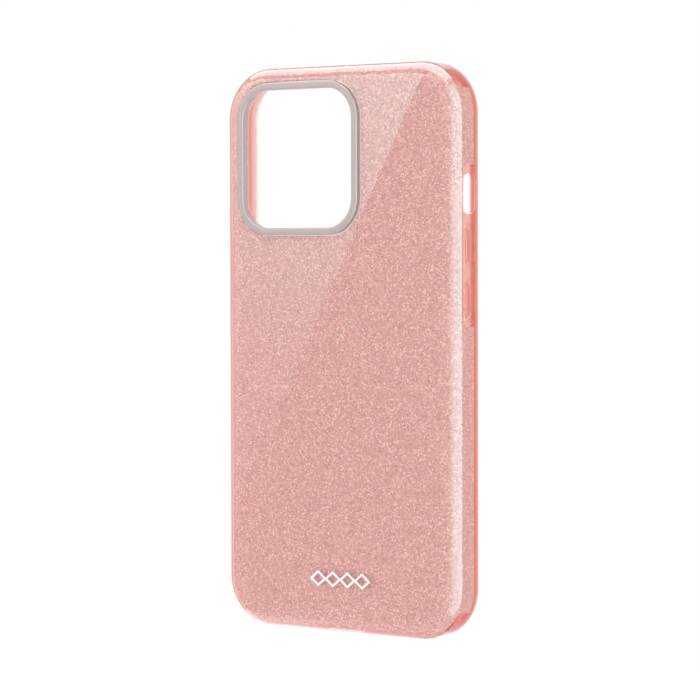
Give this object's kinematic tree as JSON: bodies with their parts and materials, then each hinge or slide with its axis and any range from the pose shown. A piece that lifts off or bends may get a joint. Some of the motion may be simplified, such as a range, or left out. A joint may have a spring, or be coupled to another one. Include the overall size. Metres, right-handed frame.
{
  "type": "phone case",
  "caption": "Protective phone case: a tinted soft tub over a glitter sheet and a hard clear tray, with a camera ring and sliding button caps.",
  "frame": {"origin": "middle of the flat floor that the phone lies on", "axes": "+Z towards the top of the phone, +Y out of the open side where the screen is, +X towards the volume buttons"},
  "size_m": [0.0768, 0.0117, 0.1514],
  "materials": {
    "coral_tpu": "glossy clear soft plastic with a coral tint",
    "rose_glitter": "fine rose glitter on a thin sheet",
    "clear_tray": "glossy clear hard plastic",
    "frosted_ring": "slightly frosted clear plastic",
    "coral_cap": "glossy coral soft plastic",
    "white_print": "white ink"
  },
  "bodies": {
    "case": {"outer_shell": "coral_tpu", "glitter_sheet": "rose_glitter", "inner_tray": "clear_tray", "camera_ring": "frosted_ring", "printed_mark": "white_print"},
    "volume_up": {"volume_up_button": "coral_cap"},
    "volume_down": {"volume_down_button": "coral_cap"},
    "side": {"side_button": "coral_cap"}
  },
  "joints": [
    {"name": "volume_up_press", "type": "slide", "parent": "case", "child": "volume_up", "axis": [-1, 0, 0], "range_m": [0, 0.0004], "stiffness_N_per_m": 3000},
    {"name": "volume_down_press", "type": "slide", "parent": "case", "child": "volume_down", "axis": [-1, 0, 0], "range_m": [0, 0.0004], "stiffness_N_per_m": 3000},
    {"name": "side_press", "type": "slide", "parent": "case", "child": "side", "axis": [1, 0, 0], "range_m": [0, 0.0004], "stiffness_N_per_m": 3000}
  ]
}
